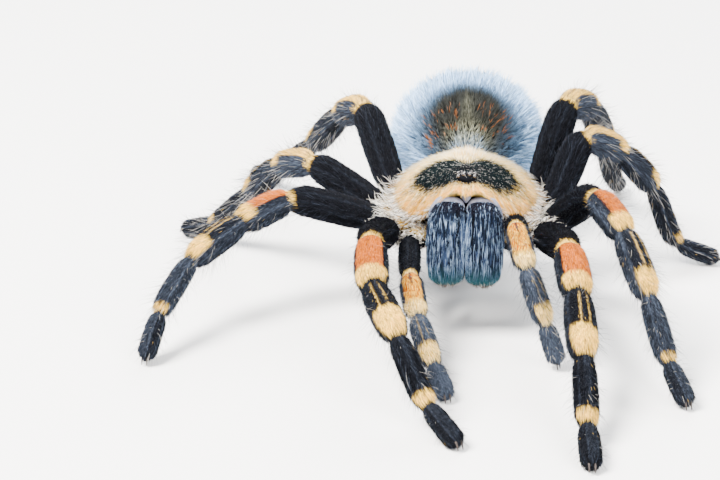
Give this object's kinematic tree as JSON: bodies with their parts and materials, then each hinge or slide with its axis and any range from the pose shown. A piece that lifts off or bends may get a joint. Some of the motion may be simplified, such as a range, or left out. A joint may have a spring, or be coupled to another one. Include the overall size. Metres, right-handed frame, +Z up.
{
  "type": "red knee tarantula model",
  "caption": "Life-size still model of a red knee tarantula standing with its legs and feelers spread and one foreleg turned in, black with orange knees and a furred body.",
  "frame": {"origin": "on the floor, under the middle of the bounding box", "axes": "+Z up, -Y the way the animal faces, +X to the animal's own left"},
  "size_m": [0.0791, 0.0976, 0.0252],
  "materials": {
    "coat_black": "short dense black hair",
    "coat_orange": "short dense orange hair",
    "carapace_tan": "very short flat-lying tan hair",
    "abdomen_fur": "velvet-like dark hair with longer hairs",
    "chelicera_slate": "short combed slate hair",
    "horn_black": "smooth glossy horn"
  },
  "bodies": {
    "root": {"carapace": "carapace_tan", "eye_mound": "horn_black", "underbody": "coat_black", "pedicel": "coat_black", "abdomen": "abdomen_fur", "chelicera_l": "chelicera_slate", "fang_l": "horn_black", "spinneret_l": "coat_black", "chelicera_r": "chelicera_slate", "fang_r": "horn_black", "spinneret_r": "coat_black", "palp_l_femur": "coat_black", "palp_l_patella": "coat_orange", "palp_l_tibia": "coat_black", "palp_l_tarsus": "coat_black", "palp_r_femur": "coat_black", "palp_r_patella": "coat_orange", "palp_r_tibia": "coat_black", "palp_r_tarsus": "coat_black", "leg_1_l_femur": "coat_black", "leg_1_l_patella": "coat_orange", "leg_1_l_tibia": "coat_black", "leg_1_l_metatarsus": "coat_black", "leg_1_l_tarsus": "coat_black", "leg_1_r_femur": "coat_black", "leg_1_r_patella": "coat_orange", "leg_1_r_tibia": "coat_black", "leg_1_r_metatarsus": "coat_black", "leg_1_r_tarsus": "coat_black", "leg_2_l_femur": "coat_black", "leg_2_l_patella": "coat_orange", "leg_2_l_tibia": "coat_black", "leg_2_l_metatarsus": "coat_black", "leg_2_l_tarsus": "coat_black", "leg_2_r_femur": "coat_black", "leg_2_r_patella": "coat_orange", "leg_2_r_tibia": "coat_black", "leg_2_r_metatarsus": "coat_black", "leg_2_r_tarsus": "coat_black", "leg_3_l_femur": "coat_black", "leg_3_l_patella": "coat_orange", "leg_3_l_tibia": "coat_black", "leg_3_l_metatarsus": "coat_black", "leg_3_l_tarsus": "coat_black", "leg_3_r_femur": "coat_black", "leg_3_r_patella": "coat_orange", "leg_3_r_tibia": "coat_black", "leg_3_r_metatarsus": "coat_black", "leg_3_r_tarsus": "coat_black", "leg_4_l_femur": "coat_black", "leg_4_l_patella": "coat_orange", "leg_4_l_tibia": "coat_black", "leg_4_l_metatarsus": "coat_black", "leg_4_l_tarsus": "coat_black", "leg_4_r_femur": "coat_black", "leg_4_r_patella": "coat_orange", "leg_4_r_tibia": "coat_black", "leg_4_r_metatarsus": "coat_black", "leg_4_r_tarsus": "coat_black"}
  },
  "joints": []
}
